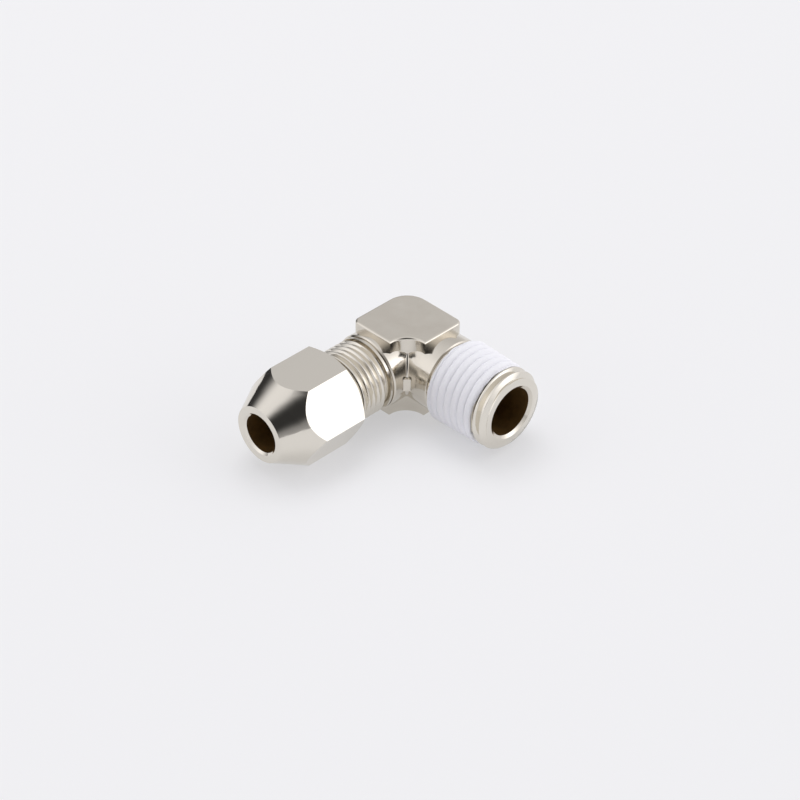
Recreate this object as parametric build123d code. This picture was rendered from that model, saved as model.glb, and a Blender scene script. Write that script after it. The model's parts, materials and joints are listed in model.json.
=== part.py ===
from build123d import *
import math
import os

# Elbow pipe union: a forged brass elbow with a compression end for a 6 mm tube
# and a tapered pipe thread end, at right angles.
# The origin is where the two port axes cross. The tube end points along -X,
# the pipe thread end along -Y, and the wrench flats face up and down.
# Every size is in millimetres and every angle in degrees.
# A distance along an arm is counted from the crossing of the axes.

# Forged elbow
neck_radius = 6.2
flats_height = 14.0
block_inner_reach = 7.5
block_outer_reach = 4.4
outer_corner_radius = 3.8
side_corner_radius = 1.1
scoop_radius = 3.4
scoop_centre_reach = 7.15
block_edge_radius = 0.35
valley_radius = 0.45
web_reach = 0.4
web_height = 2.2
tube_neck_length = 8.7
pipe_neck_length = 10.2
neck_edge_chamfer = 0.2

# Collar ring between the tube neck and its thread
collar_groove_width = 0.3
collar_groove_depth = 0.45
collar_width = 0.45
collar_radius = 6.0
undercut_width = 0.65
undercut_clearance = 0.06

# Fine thread for the nut, as rings at its pitch
nut_thread_pitch = 1.0
nut_thread_radius = 5.97
nut_thread_depth = 0.58
nut_thread_root = 0.16
nut_thread_half_angle = 30.0
nut_thread_groove_at = 14.5
stub_length = 20.6
stub_chamfer = 0.6

# Tube seat in the stub
tube_radius = 3.0
tube_gap = 0.08
socket_depth = 8.5
tube_hole_radius = 2.1
seat_half_angle = 15.0
seat_mouth_radius = 3.95

# Tapered pipe thread, as rings at its pitch
pipe_length = 22.25
gauge_length = 6.01
gauge_radius = 6.5785
taper_per_length = 1 / 32
pipe_thread_pitch = 1.337
pipe_thread_depth = 0.85
pipe_thread_root = 0.23
pipe_thread_half_angle = 27.5
pipe_thread_groove_at = 20.6
pipe_undercut_width = 0.6
pipe_tip_radius = 5.75
pipe_tip_length = 0.6
flow_radius = 4.0
flow_mouth_radius = 4.5
flow_mouth_depth = 0.35
flow_reach_past_crossing = 2.6
drill_tip_half_angle = 59.0

# Sealant coat on the pipe thread
coat_start = 11.0
coat_end = 19.5
coat_gap = 0.03
coat_thickness = 0.17
coat_ripple = 0.09
coat_ripple_root = 0.2
coat_ripple_half_angle = 70.0

# Compression nut
nut_flats = flats_height
nut_length = 14.85
nut_seat_depth = 6.89
nut_front_corner = 8.66
nut_back_angle = 35.0
nut_back_radius = 6.76
nose_radius = 4.67
tube_hole_gap = 0.13
nut_mouth_radius = 3.5
nut_mouth_depth = 0.3
nut_thread_gap = 0.08
nut_thread_length = 5.5
nut_relief_width = 0.7
nut_relief_depth = 0.12
nut_cavity_gap = 0.3
nut_countersink = 0.25

# Sleeve
sleeve_bore_gap = 0.1
sleeve_small_radius = 3.4
sleeve_band_radius = 4.2
sleeve_band_length = 1.2
sleeve_back_half_angle = 45.0
sleeve_back_radius = 3.7
sleeve_gap = 0.03

# Shared working values
overrun = 1.0
mitre_tolerance = 0.01


def tan(degrees):
    return math.tan(math.radians(degrees))


def sin(degrees):
    return math.sin(math.radians(degrees))


def cos(degrees):
    return math.cos(math.radians(degrees))


def on_tube_arm(shape):
    """Turn a shape built along +Z so that it runs out along the tube arm."""
    return Plane(origin=(0, 0, 0), x_dir=(0, 0, 1), z_dir=(-1, 0, 0)) * shape


def on_pipe_arm(shape):
    """Turn a shape built along +Z so that it runs out along the pipe arm."""
    return Plane(origin=(0, 0, 0), x_dir=(0, 0, 1), z_dir=(0, -1, 0)) * shape


def turned(*outline):
    """A solid turned round +Z from (radius, distance) points."""
    points = [(radius, 0, distance) for radius, distance in outline]
    return revolve(make_face(Polyline(*points, close=True)), Axis.Z)


def rod(radius, start, end):
    """A plain cylinder round +Z between two distances."""
    return turned((0, start), (radius, start), (radius, end), (0, end))


def pipe_crest_radius(distance):
    """Crest radius of the pipe thread, which tapers towards its tip."""
    return gauge_radius + (pipe_length - gauge_length - distance) * taper_per_length


def tapered_rod(step, start, end):
    """A rod along the pipe thread's taper, a step outside its crests."""
    start_radius = pipe_crest_radius(start) + step
    end_radius = pipe_crest_radius(end) + step
    return turned((0, start), (start_radius, start), (end_radius, end), (0, end))


def groove_places(groove_at, pitch, start, end):
    """Every distance between start and end that is a whole number of pitches from groove_at."""
    first = math.ceil((start - groove_at) / pitch)
    last = math.floor((end - groove_at) / pitch)
    return [groove_at + number * pitch for number in range(first, last + 1)]


def groove(root_radius, root_width, half_angle, distance):
    """A ring with sloping sides that cuts one groove."""
    half_root = root_width / 2
    half_mouth = half_root + overrun * tan(half_angle)
    return turned(
        (root_radius, distance - half_root),
        (root_radius, distance + half_root),
        (root_radius + overrun, distance + half_mouth),
        (root_radius + overrun, distance - half_mouth),
    )


def wrench_block():
    """The square block between the wrench flats, scooped at its inner corner."""
    side = block_inner_reach + block_outer_reach
    middle = (block_outer_reach - block_inner_reach) / 2
    outline = Pos(middle, middle) * Rectangle(side, side)
    outline = fillet(outline.vertices().sort_by(lambda v: v.X + v.Y)[-1], outer_corner_radius)
    side_corners = outline.vertices().sort_by(lambda v: abs(v.X - v.Y))[-2:]
    outline = fillet(side_corners, side_corner_radius)
    outline -= Pos(-scoop_centre_reach, -scoop_centre_reach) * Circle(scoop_radius)
    block = Pos(0, 0, -flats_height / 2) * extrude(outline, flats_height)
    flats = [block.faces().sort_by(Axis.Z)[-1], block.faces().sort_by(Axis.Z)[0]]
    return fillet([edge for flat in flats for edge in flat.edges()], block_edge_radius)


def parting_web():
    """The short web left in the inner valley where the forging dies met."""
    inside = neck_radius - valley_radius
    outline = make_face(Polyline(
        (-inside, -inside),
        (-neck_radius - 2 * web_reach, -neck_radius),
        (-neck_radius, -neck_radius - 2 * web_reach),
        close=True,
    ))
    return Pos(0, 0, -web_height / 2) * extrude(outline, web_height)


def chamfered_rod(radius, length, edge):
    """A cylinder from the crossing outwards with a chamfered end."""
    return turned((0, 0), (radius, 0), (radius, length - edge), (radius - edge, length), (0, length))


def valley_edges(shape):
    """The edges on the inner side where the two necks meet in the mitre."""
    def on_mitre(edge):
        return all(abs((edge @ share).X - (edge @ share).Y) < mitre_tolerance for share in (0, 0.5, 1))

    return [edge for edge in shape.edges() if on_mitre(edge) and (edge @ 0.5).X < 0]


def forged_middle():
    """The two round necks meeting in a mitre, with the wrench block on them."""
    tube_neck = chamfered_rod(neck_radius, tube_neck_length, neck_edge_chamfer)
    pipe_neck = chamfered_rod(neck_radius, pipe_neck_length, neck_edge_chamfer)
    middle = Sphere(neck_radius) + on_tube_arm(tube_neck) + on_pipe_arm(pipe_neck)
    middle += wrench_block()
    return fillet(valley_edges(middle), valley_radius) + parting_web()


def tube_stub():
    """The collar ring and the fine thread that the nut runs on."""
    groove_end = tube_neck_length + collar_groove_width
    collar_end = groove_end + collar_width
    thread_start = collar_end + undercut_width
    root_radius = nut_thread_radius - nut_thread_depth
    undercut_radius = root_radius - undercut_clearance
    groove_radius = neck_radius - collar_groove_depth
    core = turned(
        (0, 0),
        (groove_radius, 0),
        (groove_radius, groove_end),
        (collar_radius, groove_end),
        (collar_radius, collar_end),
        (undercut_radius, collar_end),
        (undercut_radius, thread_start),
        (0, thread_start),
    )
    chamfer_start = stub_length - stub_chamfer
    thread = turned(
        (0, thread_start),
        (nut_thread_radius, thread_start),
        (nut_thread_radius, chamfer_start),
        (nut_thread_radius - stub_chamfer, stub_length),
        (0, stub_length),
    )
    places = groove_places(nut_thread_groove_at, nut_thread_pitch, thread_start, chamfer_start)
    return core + thread - [
        groove(root_radius, nut_thread_root, nut_thread_half_angle, place) for place in places
    ]


def tube_passage():
    """The seat for the sleeve, the socket for the tube and the hole behind it."""
    socket_radius = tube_radius + tube_gap
    shoulder = stub_length - socket_depth
    mouth_radius = seat_mouth_radius + overrun * tan(seat_half_angle)
    seat_end = stub_length - (seat_mouth_radius - socket_radius) / tan(seat_half_angle)
    return turned(
        (0, 0),
        (tube_hole_radius, 0),
        (tube_hole_radius, shoulder),
        (socket_radius, shoulder),
        (socket_radius, seat_end),
        (mouth_radius, stub_length + overrun),
        (0, stub_length + overrun),
    )


def pipe_spigot():
    """The tapered pipe thread with its undercut and chamfered tip."""
    thread_start = pipe_neck_length + pipe_undercut_width
    undercut_radius = pipe_crest_radius(pipe_length) - pipe_thread_depth
    chamfer_start = pipe_length - pipe_tip_length
    thread = turned(
        (0, thread_start),
        (pipe_crest_radius(thread_start), thread_start),
        (pipe_crest_radius(chamfer_start), chamfer_start),
        (pipe_tip_radius, pipe_length),
        (0, pipe_length),
    )
    grooves = []
    for place in groove_places(pipe_thread_groove_at, pipe_thread_pitch, thread_start, chamfer_start):
        root_radius = pipe_crest_radius(place) - pipe_thread_depth
        grooves.append(groove(root_radius, pipe_thread_root, pipe_thread_half_angle, place))
    return rod(undercut_radius, 0, thread_start) + thread - grooves


def pipe_passage():
    """The large bore of the pipe end, drilled just past the crossing."""
    drill_tip = flow_radius / tan(drill_tip_half_angle)
    mouth_slope = (flow_mouth_radius - flow_radius) / flow_mouth_depth
    return turned(
        (0, -flow_reach_past_crossing - drill_tip),
        (flow_radius, -flow_reach_past_crossing),
        (flow_radius, pipe_length - flow_mouth_depth),
        (flow_mouth_radius + overrun * mouth_slope, pipe_length + overrun),
        (0, pipe_length + overrun),
    )


def elbow_body():
    """The whole forging with its threads cut and its passages drilled."""
    body = forged_middle() + [on_tube_arm(tube_stub()), on_pipe_arm(pipe_spigot())]
    return body - [on_tube_arm(tube_passage()), on_pipe_arm(pipe_passage())]


def sealant_coat():
    """The sealant dried over the crests, with the grooves showing softly through it."""
    coat = tapered_rod(coat_thickness, coat_start, coat_end)
    ripples = []
    for place in groove_places(pipe_thread_groove_at, pipe_thread_pitch, coat_start, coat_end):
        ripple_radius = pipe_crest_radius(place) + coat_thickness - coat_ripple
        ripples.append(groove(ripple_radius, coat_ripple_root, coat_ripple_half_angle, place))
    return on_pipe_arm(coat - ripples - tapered_rod(coat_gap, coat_start, coat_end))


def sleeve_front():
    """Distance of the sleeve's small end, held off its seat by the gap."""
    seat = stub_length - (seat_mouth_radius - sleeve_small_radius) / tan(seat_half_angle)
    return seat + sleeve_gap / sin(seat_half_angle)


def sleeve_band_end():
    """Distance at which the sleeve's widest band ends."""
    cone_length = (sleeve_band_radius - sleeve_small_radius) / tan(seat_half_angle)
    return sleeve_front() + cone_length + sleeve_band_length


def sleeve():
    """The ring that grips the tube, with a cone at each end."""
    bore_radius = tube_radius + sleeve_bore_gap
    back_length = (sleeve_band_radius - sleeve_back_radius) / tan(sleeve_back_half_angle)
    ring = turned(
        (bore_radius, sleeve_front()),
        (sleeve_small_radius, sleeve_front()),
        (sleeve_band_radius, sleeve_band_end() - sleeve_band_length),
        (sleeve_band_radius, sleeve_band_end()),
        (sleeve_back_radius, sleeve_band_end() + back_length),
        (bore_radius, sleeve_band_end() + back_length),
    )
    return on_tube_arm(ring)


def nut_back():
    """Distance of the nut's back face when the nut is finger-tight."""
    return sleeve_band_end() + sleeve_gap / sin(sleeve_back_half_angle) - nut_seat_depth


def nut_outside():
    """The hexagon with a chamfered back and a long cone down to the nose."""
    corner_radius = nut_flats / 2 / cos(30)
    reach = corner_radius + overrun
    nose_slope = (corner_radius - nose_radius) / (nut_length - nut_front_corner)
    back_slope = tan(nut_back_angle)
    hexagon = extrude(RegularPolygon(nut_flats / 2, 6, major_radius=False, rotation=30), nut_length)
    envelope = turned(
        (0, 0),
        (nut_back_radius, 0),
        (reach, (reach - nut_back_radius) * back_slope),
        (reach, nut_front_corner - overrun / nose_slope),
        (nose_radius, nut_length),
        (0, nut_length),
    )
    return hexagon & envelope


def nut_inside():
    """A plain bore that clears the thread, the cavity, the sleeve's seat and the tube's hole."""
    thread_radius = nut_thread_radius + nut_thread_gap
    relief_radius = thread_radius + nut_relief_depth
    relief_end = nut_thread_length + nut_relief_width
    cavity_radius = sleeve_band_radius + nut_cavity_gap
    hole_radius = tube_radius + tube_hole_gap
    seat_start = nut_seat_depth - nut_cavity_gap / tan(sleeve_back_half_angle)
    seat_end = nut_seat_depth + (sleeve_band_radius - hole_radius) / tan(sleeve_back_half_angle)
    mouth_slope = (nut_mouth_radius - hole_radius) / nut_mouth_depth
    return turned(
        (0, -overrun),
        (thread_radius + nut_countersink + overrun, -overrun),
        (thread_radius, nut_countersink),
        (thread_radius, nut_thread_length),
        (relief_radius, nut_thread_length),
        (relief_radius, relief_end),
        (cavity_radius, relief_end),
        (cavity_radius, seat_start),
        (hole_radius, seat_end),
        (hole_radius, nut_length - nut_mouth_depth),
        (nut_mouth_radius + overrun * mouth_slope, nut_length + overrun),
        (0, nut_length + overrun),
    )


def nut():
    """The compression nut at its finger-tight place."""
    return on_tube_arm(Pos(0, 0, nut_back()) * (nut_outside() - nut_inside()))


def main():
    os.makedirs("parts", exist_ok=True)
    nodes = {
        "elbow_body": elbow_body(),
        "thread_sealant": sealant_coat(),
        "sleeve": sleeve(),
        "nut": nut(),
    }
    for name, shape in nodes.items():
        export_step(shape, f"parts/{name}.step")


main()
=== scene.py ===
import json
import math

import bmesh
import bpy
from mathutils import Matrix, Vector, noise


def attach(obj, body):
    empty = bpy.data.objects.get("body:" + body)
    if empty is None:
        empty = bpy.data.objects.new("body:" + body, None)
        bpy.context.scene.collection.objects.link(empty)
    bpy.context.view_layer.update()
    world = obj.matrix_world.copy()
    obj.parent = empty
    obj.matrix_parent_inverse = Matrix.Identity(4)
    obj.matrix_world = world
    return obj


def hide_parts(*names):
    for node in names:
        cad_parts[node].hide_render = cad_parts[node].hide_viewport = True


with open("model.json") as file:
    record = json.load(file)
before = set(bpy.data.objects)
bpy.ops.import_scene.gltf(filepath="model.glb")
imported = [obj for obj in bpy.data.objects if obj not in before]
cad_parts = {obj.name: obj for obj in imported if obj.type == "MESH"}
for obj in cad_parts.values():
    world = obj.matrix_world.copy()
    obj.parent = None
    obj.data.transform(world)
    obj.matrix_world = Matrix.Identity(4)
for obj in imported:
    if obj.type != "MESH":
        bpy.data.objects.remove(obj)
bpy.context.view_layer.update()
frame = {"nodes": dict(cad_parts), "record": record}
print("frame loaded")

mm = 0.001
bodyOf = {node: body for body, nodes in frame["record"]["behaviour"]["bodies"].items() for node in nodes}
noiseLow, noiseHigh = 0.3, 0.7  # a noise texture's values nearly all lie between these


def linear(hexColour):  # sRGB hex to the linear colour that a shader takes
    parts = [int(hexColour[i:i + 2], 16) / 255 for i in (1, 3, 5)]
    return [p / 12.92 if p <= 0.04045 else ((p + 0.055) / 1.055) ** 2.4 for p in parts] + [1]


# one node with its inputs, as values or as links, and its settings, set first as they change its sockets
def addNode(tree, kind, inputs=None, settings=None):
    node = tree.nodes.new(kind)
    for name, value in (settings or {}).items():
        setattr(node, name, value)
    for name, value in (inputs or {}).items():
        socket = node.inputs[name]
        if isinstance(value, bpy.types.NodeSocket):
            tree.links.new(value, socket)
        else:
            socket.default_value = value
    return node


def newMaterial(name):
    material = bpy.data.materials.new(name)
    material.use_nodes = True
    tree = material.node_tree
    tree.nodes.clear()
    return material, tree


def finishMaterial(tree, shader):
    output = addNode(tree, "ShaderNodeOutputMaterial")
    tree.links.new(shader.outputs[0], output.inputs["Surface"])


forgedPlate = {
    "bright": "#E2DDD3",
    "dull": "#CFC8BC",
    "cloudMm": 4,
    "cloudDetail": 2.0,
    "peelMm": 0.35,
    "peelDetail": 3.0,
    "smoothest": 0.09,
    "roughest": 0.19,
    "bumpStrength": 0.12,
    "bumpMm": 0.02,
}


def brightNickel():
    # Bright nickel plate over forged brass: nearly a mirror, a little warm,
    # with the forging's fine orange peel still under the plate.
    material, tree = newMaterial("bright nickel plate on forged brass")
    place = addNode(tree, "ShaderNodeTexCoord")
    peel = addNode(tree, "ShaderNodeTexNoise", {
        "Vector": place.outputs["Object"], "Scale": 1 / (forgedPlate["peelMm"] * mm),
        "Detail": forgedPlate["peelDetail"]})
    cloud = addNode(tree, "ShaderNodeTexNoise", {
        "Vector": place.outputs["Object"], "Scale": 1 / (forgedPlate["cloudMm"] * mm),
        "Detail": forgedPlate["cloudDetail"]})
    tone = addNode(tree, "ShaderNodeMix", {
        "Factor": cloud.outputs["Fac"], "A": linear(forgedPlate["bright"]),
        "B": linear(forgedPlate["dull"])}, {"data_type": "RGBA"})
    rough = addNode(tree, "ShaderNodeMapRange", {
        "Value": peel.outputs["Fac"], "From Min": noiseLow, "From Max": noiseHigh,
        "To Min": forgedPlate["smoothest"], "To Max": forgedPlate["roughest"]})
    bump = addNode(tree, "ShaderNodeBump", {
        "Height": peel.outputs["Fac"], "Strength": forgedPlate["bumpStrength"],
        "Distance": forgedPlate["bumpMm"] * mm})
    shader = addNode(tree, "ShaderNodeBsdfPrincipled", {
        "Base Color": tone.outputs["Result"], "Metallic": 1.0, "Roughness": rough.outputs["Result"],
        "Normal": bump.outputs["Normal"]})
    finishMaterial(tree, shader)
    return material


turnedPlate = {
    "colour": "#E2DDD3",
    "hazeMm": 0.9,
    "hazeDetail": 4.0,
    "smoothest": 0.07,
    "roughest": 0.12,
}


def turnedNickel():
    # Nickel plate over turned brass: brighter and smoother than the forging.
    material, tree = newMaterial("bright nickel plate on turned brass")
    place = addNode(tree, "ShaderNodeTexCoord")
    haze = addNode(tree, "ShaderNodeTexNoise", {
        "Vector": place.outputs["Object"], "Scale": 1 / (turnedPlate["hazeMm"] * mm),
        "Detail": turnedPlate["hazeDetail"]})
    rough = addNode(tree, "ShaderNodeMapRange", {
        "Value": haze.outputs["Fac"], "From Min": noiseLow, "From Max": noiseHigh,
        "To Min": turnedPlate["smoothest"], "To Max": turnedPlate["roughest"]})
    shader = addNode(tree, "ShaderNodeBsdfPrincipled", {
        "Base Color": linear(turnedPlate["colour"]), "Metallic": 1.0,
        "Roughness": rough.outputs["Result"]})
    finishMaterial(tree, shader)
    return material


drilledBrass = {
    "pale": "#A07C48",
    "dark": "#6A5232",
    "stainMm": 1.2,
    "stainDetail": 3.0,
    "metallic": 0.7,
    "roughness": 0.42,
}


def drilledBore():
    # Inside the drilled holes the plate is thin: stained brown brass shows through it,
    # too dull to mirror the studio.
    material, tree = newMaterial("thinly plated drilled brass")
    place = addNode(tree, "ShaderNodeTexCoord")
    stain = addNode(tree, "ShaderNodeTexNoise", {
        "Vector": place.outputs["Object"], "Scale": 1 / (drilledBrass["stainMm"] * mm),
        "Detail": drilledBrass["stainDetail"]})
    tone = addNode(tree, "ShaderNodeMix", {
        "Factor": stain.outputs["Fac"], "A": linear(drilledBrass["pale"]),
        "B": linear(drilledBrass["dark"])}, {"data_type": "RGBA"})
    shader = addNode(tree, "ShaderNodeBsdfPrincipled", {
        "Base Color": tone.outputs["Result"], "Metallic": drilledBrass["metallic"],
        "Roughness": drilledBrass["roughness"]})
    finishMaterial(tree, shader)
    return material


sleeveBrass = {
    "clean": "#B08A45",
    "tarnished": "#8A6A34",
    "tarnishMm": 1.5,
    "tarnishDetail": 3.0,
    "roughness": 0.28,
}


def bareBrass():
    # Bare turned brass: yellow metal with a thin brown tarnish.
    material, tree = newMaterial("bare turned brass")
    place = addNode(tree, "ShaderNodeTexCoord")
    tarnish = addNode(tree, "ShaderNodeTexNoise", {
        "Vector": place.outputs["Object"], "Scale": 1 / (sleeveBrass["tarnishMm"] * mm),
        "Detail": sleeveBrass["tarnishDetail"]})
    tone = addNode(tree, "ShaderNodeMix", {
        "Factor": tarnish.outputs["Fac"], "A": linear(sleeveBrass["clean"]),
        "B": linear(sleeveBrass["tarnished"])}, {"data_type": "RGBA"})
    shader = addNode(tree, "ShaderNodeBsdfPrincipled", {
        "Base Color": tone.outputs["Result"], "Metallic": 1.0, "Roughness": sleeveBrass["roughness"]})
    finishMaterial(tree, shader)
    return material


resin = {
    "pale": "#FAFAFD",
    "shaded": "#F1F1F8",
    "grainMm": 0.3,
    "grainDetail": 3.0,
    "bumpStrength": 0.2,
    "bumpMm": 0.03,
    "roughness": 0.42,
}


def driedSealant():
    # Dried resin sealant: an opaque white coat with a soft gloss and a cool cast.
    material, tree = newMaterial("dried white thread sealant")
    place = addNode(tree, "ShaderNodeTexCoord")
    grain = addNode(tree, "ShaderNodeTexNoise", {
        "Vector": place.outputs["Object"], "Scale": 1 / (resin["grainMm"] * mm),
        "Detail": resin["grainDetail"]})
    tone = addNode(tree, "ShaderNodeMix", {
        "Factor": grain.outputs["Fac"], "A": linear(resin["pale"]),
        "B": linear(resin["shaded"])}, {"data_type": "RGBA"})
    bump = addNode(tree, "ShaderNodeBump", {
        "Height": grain.outputs["Fac"], "Strength": resin["bumpStrength"],
        "Distance": resin["bumpMm"] * mm})
    shader = addNode(tree, "ShaderNodeBsdfPrincipled", {
        "Base Color": tone.outputs["Result"], "Roughness": resin["roughness"],
        "Normal": bump.outputs["Normal"]})
    finishMaterial(tree, shader)
    return material


forgedMetal = brightNickel()
turnedMetal = turnedNickel()
brassMetal = bareBrass()
boreMetal = drilledBore()
sealantResin = driedSealant()
print("materials made")


shading = {
    "sharpAngle": 28,
    "mergeMm": 0.0005,
    "sliverMm": 0.0002,
    "faceWeight": 50,
}


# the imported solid's own surface, shaded as the smooth metal that its facets stand for
def smoothCopy(node, name, materials, isBore, reshape=None):
    mesh = frame["nodes"][node].data.copy()
    mesh.name = name
    mesh.materials.clear()
    for material in materials:
        mesh.materials.append(material)
    form = bmesh.new()
    form.from_mesh(mesh)
    bmesh.ops.remove_doubles(form, verts=form.verts, dist=shading["mergeMm"] * mm)
    bmesh.ops.dissolve_degenerate(form, edges=form.edges, dist=shading["sliverMm"] * mm)
    if reshape:
        reshape(form)
    for face in form.faces:
        face.smooth = True
        face.material_index = 1 if isBore(face.calc_center_median() / mm) else 0
    for edge in form.edges:
        angle = edge.calc_face_angle(math.pi) if len(edge.link_faces) == 2 else math.pi
        edge.smooth = angle < math.radians(shading["sharpAngle"])
    form.to_mesh(mesh)
    form.free()
    piece = bpy.data.objects.new(name, mesh)
    bpy.context.scene.collection.objects.link(piece)
    weighted = piece.modifiers.new("even shading", "WEIGHTED_NORMAL")
    weighted.keep_sharp = True
    weighted.weight = shading["faceWeight"]
    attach(piece, bodyOf[node])
    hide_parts(node)


forging = {
    "boreRadius": 4.05,
    "sunkRadius": 5.2,
    "sunkEnd": 0.06,  # how far the sunk rings stop short of the thread's own end
}

nut = {
    "holeRadius": 3.2,
}


# Each bore is found by its distance from its axis. The axes run on through the forging,
# so two patches of its outer corner take the bore's finish too.
def inElbowBore(point):
    return min(math.hypot(point.x, point.z), math.hypot(point.y, point.z)) < forging["boreRadius"]


def inNutHole(point):
    return math.hypot(point.y, point.z) < nut["holeRadius"]


def nowhere(point):
    return False


# the solid's thread rings sink below the helical threads that stand over them
def sinkRings(form):
    for vert in form.verts:
        for along, across, thread in ((0, 1, nutThread), (1, 0, pipeThread)):
            radius = math.hypot(vert.co[across], vert.co.z) / mm
            if -vert.co[along] / mm > thread["sinkFrom"] and radius > forging["sunkRadius"]:
                vert.co[across] *= forging["sunkRadius"] / radius
                vert.co.z *= forging["sunkRadius"] / radius
                vert.co[along] = max(vert.co[along], -(thread["end"] - forging["sunkEnd"]) * mm)


# Threads are in millimetres along their arm, from the crossing of the two axes.
# A shape's points are (share of a pitch from the groove's middle, share of the depth).
nutThread = {
    "start": 10.1,
    "end": 20.6,
    "sinkFrom": 10.05,
    "pitch": 1.0,
    "grooveAt": 14.5,
    "crest": 5.97,
    "depth": 0.58,
    "taper": 0,
    "gaugeAt": 0,
    "chamferStart": 20.0,
    "endRadius": 5.37,
    "inner": 4.0,
    "around": 144,
    "sharpAngle": 50,
    "shape": [(-0.08, 1), (0.08, 1), (0.39, 0.07), (0.43, 0), (0.57, 0), (0.61, 0.07)],
}

pipeThread = {
    "start": 10.8,
    "end": 22.25,
    "sinkFrom": 10.75,
    "pitch": 1.337,
    "grooveAt": 20.6,
    "crest": 6.5785,
    "depth": 0.85,
    "taper": 1 / 32,  # on the radius, which is 1 in 16 on the diameter
    "gaugeAt": 16.24,
    "chamferStart": 21.65,
    "endRadius": 5.75,
    "inner": 4.52,
    "around": 168,
    "sharpAngle": 50,
    "shape": [(-0.086, 1), (0.086, 1), (0.39, 0.08), (0.43, 0), (0.57, 0), (0.61, 0.08)],
}

coat = {
    "start": 11.0,
    "end": 19.5,
    "pitch": 1.337,
    "grooveAt": 20.6,
    "crest": 6.7385,
    "depth": 0.42,
    "taper": 1 / 32,
    "gaugeAt": 16.24,
    "inner": 6.0,
    "around": 240,
    "sharpAngle": 180,  # soft all over
    "rows": 18,
    "softness": 0.42,
    "wobble": 0.02,
    "wobbleScale": 0.9,
    "ragged": 0.22,
    "raggedScale": 0.8,
    "raggedLevel": 3.0,  # the level at which the ragged ends read the noise
    "raggedWidth": 0.9,
    "edgeRound": 0.12,
    "edgeWidth": 0.4,
}
coat["shape"] = [(row / coat["rows"], 1 - math.sin(math.pi * row / coat["rows"]) ** coat["softness"])
                 for row in range(coat["rows"])]

# an arm's own X points up, and its Z runs out of the port
tubeArm = Matrix(((0, 0, -1), (0, 1, 0), (1, 0, 0))).to_4x4()
pipeArm = Matrix(((0, -1, 0), (0, 0, -1), (1, 0, 0))).to_4x4()

# spare turns that the square cuts take away again, and the distance at which turns are welded
screw = {
    "turnsBefore": 2,
    "turnsAfter": 1,
    "weld": 0.001,
}


# a right-handed helix: the thread's outline screwed once round, then cut off square at both ends
def helixSkin(thread):
    form = bmesh.new()
    first = math.floor((thread["start"] - thread["grooveAt"]) / thread["pitch"]) - screw["turnsBefore"]
    last = math.ceil((thread["end"] - thread["grooveAt"]) / thread["pitch"]) + screw["turnsAfter"]
    line = [form.verts.new((thread["crest"] - thread["depth"] * share, 0,
                            thread["grooveAt"] + (number + place) * thread["pitch"]))
            for number in range(first, last) for place, share in thread["shape"]]
    for one, other in zip(line, line[1:]):
        form.edges.new((one, other))
    bmesh.ops.spin(form, geom=form.verts[:] + form.edges[:], cent=(0, 0, 0), axis=(0, 0, 1),
                   dvec=(0, 0, thread["pitch"] / thread["around"]), angle=2 * math.pi,
                   steps=thread["around"], use_merge=False)
    bmesh.ops.remove_doubles(form, verts=form.verts, dist=screw["weld"])
    for height, side in ((thread["start"], -1), (thread["end"], 1)):
        bmesh.ops.bisect_plane(form, geom=form.verts[:] + form.edges[:] + form.faces[:],
                               plane_co=(0, 0, height), plane_no=(0, 0, side), clear_outer=True)
    if "chamferStart" in thread:
        bmesh.ops.bisect_plane(form, geom=form.verts[:] + form.edges[:] + form.faces[:],
                               plane_co=(0, 0, thread["chamferStart"]), plane_no=(0, 0, 1))
    return form


def setRadius(vert, radius):
    share = radius / math.hypot(vert.co.x, vert.co.y)
    vert.co.x *= share
    vert.co.y *= share


def taperAndChamfer(form, thread):
    for vert in form.verts:
        radius = math.hypot(vert.co.x, vert.co.y) + (thread["gaugeAt"] - vert.co.z) * thread["taper"]
        if "chamferStart" in thread and vert.co.z > thread["chamferStart"]:
            crest = thread["crest"] + (thread["gaugeAt"] - thread["chamferStart"]) * thread["taper"]
            share = (vert.co.z - thread["chamferStart"]) / (thread["end"] - thread["chamferStart"])
            radius = min(radius, crest + (thread["endRadius"] - crest) * share)
        setRadius(vert, radius)


# a wall behind the skin closes it to a ring
def closeRing(form, innerRadius):
    rims = [edge for edge in form.edges if edge.is_boundary]
    grown = bmesh.ops.extrude_edge_only(form, edges=rims)["geom"]
    for vert in [item for item in grown if isinstance(item, bmesh.types.BMVert)]:
        setRadius(vert, innerRadius)
    bmesh.ops.bridge_loops(form, edges=[edge for edge in form.edges if edge.is_boundary])


def ringPiece(form, name, material, body, arm, sharpAngle):
    bmesh.ops.transform(form, matrix=Matrix.Scale(mm, 4) @ arm, verts=form.verts)
    bmesh.ops.recalc_face_normals(form, faces=form.faces)
    for face in form.faces:
        face.smooth = True
    for edge in form.edges:
        edge.smooth = edge.calc_face_angle(math.pi) < math.radians(sharpAngle)
    mesh = bpy.data.meshes.new(name)
    form.to_mesh(mesh)
    form.free()
    mesh.materials.append(material)
    piece = bpy.data.objects.new(name, mesh)
    bpy.context.scene.collection.objects.link(piece)
    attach(piece, body)
    return piece


def metalThread(name, thread, arm):
    form = helixSkin(thread)
    taperAndChamfer(form, thread)
    closeRing(form, thread["inner"])
    ringPiece(form, name, turnedMetal, bodyOf["elbow_body"], arm, thread["sharpAngle"])


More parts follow.
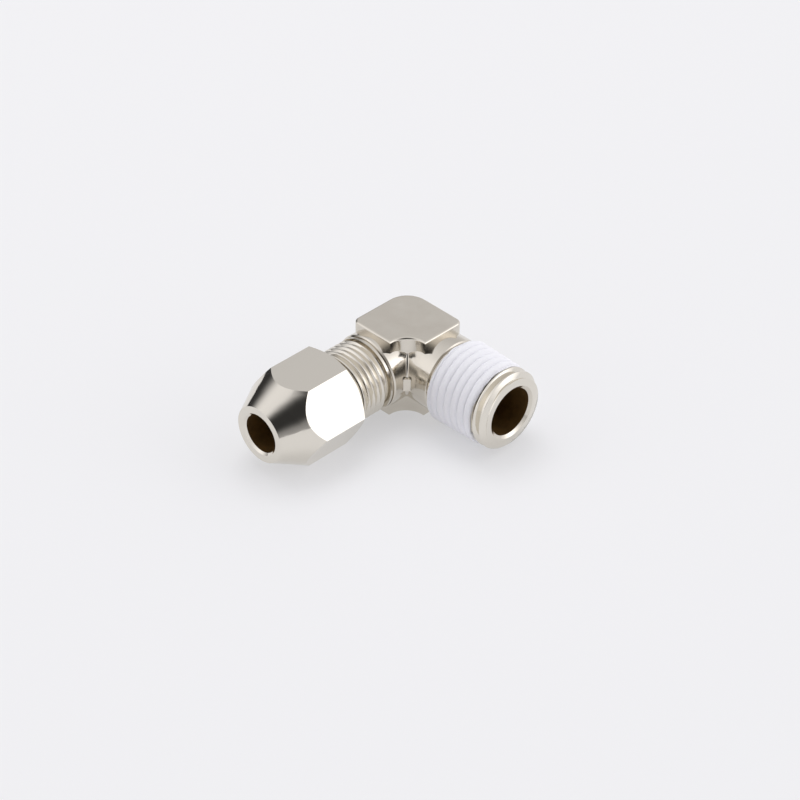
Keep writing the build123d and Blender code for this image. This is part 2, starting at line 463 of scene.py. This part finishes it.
# the coat's ends are ragged and rounded, and its ridges are a little uneven
def sealantCoat():
    form = helixSkin(coat)
    taperAndChamfer(form, coat)
    for vert in form.verts:
        height = vert.co.z
        nearEnd = min(height - coat["start"], coat["end"] - height)
        rounding = max(0, 1 - nearEnd / coat["edgeWidth"]) ** 2 * coat["edgeRound"]
        wobble = coat["wobble"] * noise.noise(vert.co * coat["wobbleScale"])
        around = Vector((vert.co.x, vert.co.y, coat["raggedLevel"]))
        ragged = coat["ragged"] * noise.noise(around * coat["raggedScale"])
        setRadius(vert, math.hypot(vert.co.x, vert.co.y) + min(0, wobble) - rounding)
        vert.co.z += ragged * max(0, 1 - nearEnd / coat["raggedWidth"])
    closeRing(form, coat["inner"])
    piece = ringPiece(form, "sealant_coat", sealantResin, bodyOf["thread_sealant"],
                      pipeArm, coat["sharpAngle"])
    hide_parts("thread_sealant")


smoothCopy("elbow_body", "elbow_forging", [forgedMetal, boreMetal], inElbowBore, sinkRings)
smoothCopy("nut", "compression_nut", [turnedMetal, boreMetal], inNutHole)
smoothCopy("sleeve", "brass_sleeve", [brassMetal], nowhere)
metalThread("tube_end_thread", nutThread, tubeArm)
metalThread("pipe_end_thread", pipeThread, pipeArm)
sealantCoat()
print("metal pieces, threads and sealant coat made")

# Azimuth here runs from -Y towards +X. Distances are in millimetres.
view = {
    "azimuth": -45.448,
    "elevation": 37.673,
    "roll": 1.018,
    "focalPixels": 2543,
    "distance": 393.284,
    "across": 1.086,  # how far right of the frame's middle the origin shows
    "up": 7.911,  # how far above the frame's middle the origin shows
    "imagePixels": 800,
    "sensor": 36.0,
    "nearest": 10,
}


def makeCamera():
    azimuth, elevation, roll = (math.radians(view[k]) for k in ("azimuth", "elevation", "roll"))
    back = Vector((math.sin(azimuth) * math.cos(elevation), -math.cos(azimuth) * math.cos(elevation),
                   math.sin(elevation)))
    level = Vector((math.cos(azimuth), math.sin(azimuth), 0))
    above = back.cross(level)
    right = level * math.cos(roll) + above * math.sin(roll)
    up = above * math.cos(roll) - level * math.sin(roll)
    lens = bpy.data.cameras.new("camera")
    lens.sensor_width = view["sensor"]
    lens.lens = view["sensor"] * view["focalPixels"] / view["imagePixels"]
    lens.clip_start = view["nearest"] * mm
    camera = bpy.data.objects.new("camera", lens)
    place = (back * view["distance"] - right * view["across"] - up * view["up"]) * mm
    turn = Matrix((right, up, back)).transposed().to_4x4()
    camera.matrix_world = Matrix.Translation(place) @ turn
    bpy.context.scene.collection.objects.link(camera)
    bpy.context.scene.camera = camera


makeCamera()
print("camera placed")

studio = {
    "floor": "#F3F3F5",
    "floorHeight": -7.0,
    "floorReach": 900,
    "floorSides": 96,
    "floorGlow": 0.5,  # share of the floor's own colour, free of shadow, that camera and mirrors see
    "wall": "#FBFAFC",
    "wallLight": 0.95,
    "lampSize": 0.9,
    "lampWatts": 4.5,
    "lampDistance": 1.3,
    "lampAzimuth": 60,
    "lampElevation": 68,
}


def makeFloor():
    material, tree = newMaterial("pale studio floor")
    path = addNode(tree, "ShaderNodeLightPath")
    seen = addNode(tree, "ShaderNodeMath", {
        0: path.outputs["Is Camera Ray"], 1: path.outputs["Is Glossy Ray"]}, {"operation": "MAXIMUM"})
    share = addNode(tree, "ShaderNodeMath", {
        0: seen.outputs[0], 1: studio["floorGlow"]}, {"operation": "MULTIPLY"})
    lit = addNode(tree, "ShaderNodeBsdfDiffuse", {"Color": linear(studio["floor"])})
    pale = addNode(tree, "ShaderNodeEmission", {"Color": linear(studio["floor"]), "Strength": 1.0})
    shader = addNode(tree, "ShaderNodeMixShader", {
        0: share.outputs[0], 1: lit.outputs[0], 2: pale.outputs[0]})
    finishMaterial(tree, shader)
    form = bmesh.new()
    bmesh.ops.create_circle(form, cap_ends=True, segments=studio["floorSides"],
                            radius=studio["floorReach"] * mm)
    bmesh.ops.translate(form, vec=(0, 0, studio["floorHeight"] * mm), verts=form.verts)
    mesh = bpy.data.meshes.new("floor")
    form.to_mesh(mesh)
    form.free()
    mesh.materials.append(material)
    floor = bpy.data.objects.new("floor", mesh)
    bpy.context.scene.collection.objects.link(floor)


# Patches of the studio as the mirror metal sees them: where, how wide, and how bright.
# A dim patch takes a share of the wall's light away and a bright one adds to it.
# Azimuth here runs from +X towards +Y.
dimPatches = [
    {"azimuth": -129, "elevation": 41, "width": 24, "share": 0.96, "edge": 2.6},
    {"azimuth": 86, "elevation": 7, "width": 24, "share": 0.96, "edge": 1.7},
    {"azimuth": -113, "elevation": 4, "width": 11, "share": 0.55, "edge": 1.0},
    {"azimuth": 40, "elevation": 24, "width": 26, "share": 0.22, "edge": 1.0},
]
brightPatches = [
    {"azimuth": -52, "elevation": 20, "width": 14, "glow": 1.2, "edge": 1.0},
    {"azimuth": 139, "elevation": 28, "width": 18, "glow": 0.3, "edge": 1.0},
]


def towards(azimuth, elevation):
    level = math.cos(math.radians(elevation))
    return Vector((level * math.cos(math.radians(azimuth)), level * math.sin(math.radians(azimuth)),
                   math.sin(math.radians(elevation))))


# 1 at the patch's middle, falling off over its width, the more firmly the higher its edge value
def patchShape(tree, looking, patch):
    middle = towards(patch["azimuth"], patch["elevation"])
    near = addNode(tree, "ShaderNodeVectorMath", {0: looking, 1: middle}, {"operation": "DOT_PRODUCT"})
    away = addNode(tree, "ShaderNodeMath", {0: 1.0, 1: near.outputs["Value"]}, {"operation": "SUBTRACT"})
    spread = addNode(tree, "ShaderNodeMath", {
        0: away.outputs[0], 1: 1 / math.radians(patch["width"]) ** 2}, {"operation": "MULTIPLY"})
    firm = addNode(tree, "ShaderNodeMath", {0: spread.outputs[0], 1: patch["edge"]}, {"operation": "POWER"})
    fall = addNode(tree, "ShaderNodeMath", {0: firm.outputs[0], 1: -1.0}, {"operation": "MULTIPLY"})
    return addNode(tree, "ShaderNodeMath", {0: fall.outputs[0]}, {"operation": "EXPONENT"})


def makeWorld():
    world = bpy.data.worlds.new("studio")
    bpy.context.scene.world = world
    world.use_nodes = True
    tree = world.node_tree
    tree.nodes.clear()
    place = addNode(tree, "ShaderNodeTexCoord")
    level = addNode(tree, "ShaderNodeValue")
    level.outputs[0].default_value = studio["wallLight"]
    for patch in dimPatches:
        shape = patchShape(tree, place.outputs["Generated"], patch)
        kept = addNode(tree, "ShaderNodeMath", {
            0: shape.outputs[0], 1: -patch["share"], 2: 1.0}, {"operation": "MULTIPLY_ADD"})
        level = addNode(tree, "ShaderNodeMath", {
            0: level.outputs[0], 1: kept.outputs[0]}, {"operation": "MULTIPLY"})
    for patch in brightPatches:
        shape = patchShape(tree, place.outputs["Generated"], patch)
        level = addNode(tree, "ShaderNodeMath", {
            0: shape.outputs[0], 1: patch["glow"], 2: level.outputs[0]}, {"operation": "MULTIPLY_ADD"})
    glow = addNode(tree, "ShaderNodeBackground", {
        "Color": linear(studio["wall"]), "Strength": level.outputs[0]})
    output = addNode(tree, "ShaderNodeOutputWorld")
    tree.links.new(glow.outputs[0], output.inputs["Surface"])


# one large soft lamp overhead, for the floor's shadow and the white coat's shape
def makeLamp():
    lamp = bpy.data.lights.new("overhead softbox", "AREA")
    lamp.shape = "DISK"
    lamp.size = studio["lampSize"]
    lamp.energy = studio["lampWatts"]
    holder = bpy.data.objects.new("overhead softbox", lamp)
    direction = towards(studio["lampAzimuth"], studio["lampElevation"])
    turn = direction.to_track_quat("Z", "Y").to_matrix().to_4x4()
    holder.matrix_world = Matrix.Translation(direction * studio["lampDistance"]) @ turn
    holder.visible_glossy = False
    bpy.context.scene.collection.objects.link(holder)


makeFloor()
makeWorld()
makeLamp()
bpy.context.scene.view_settings.view_transform = "Standard"
print("studio made")
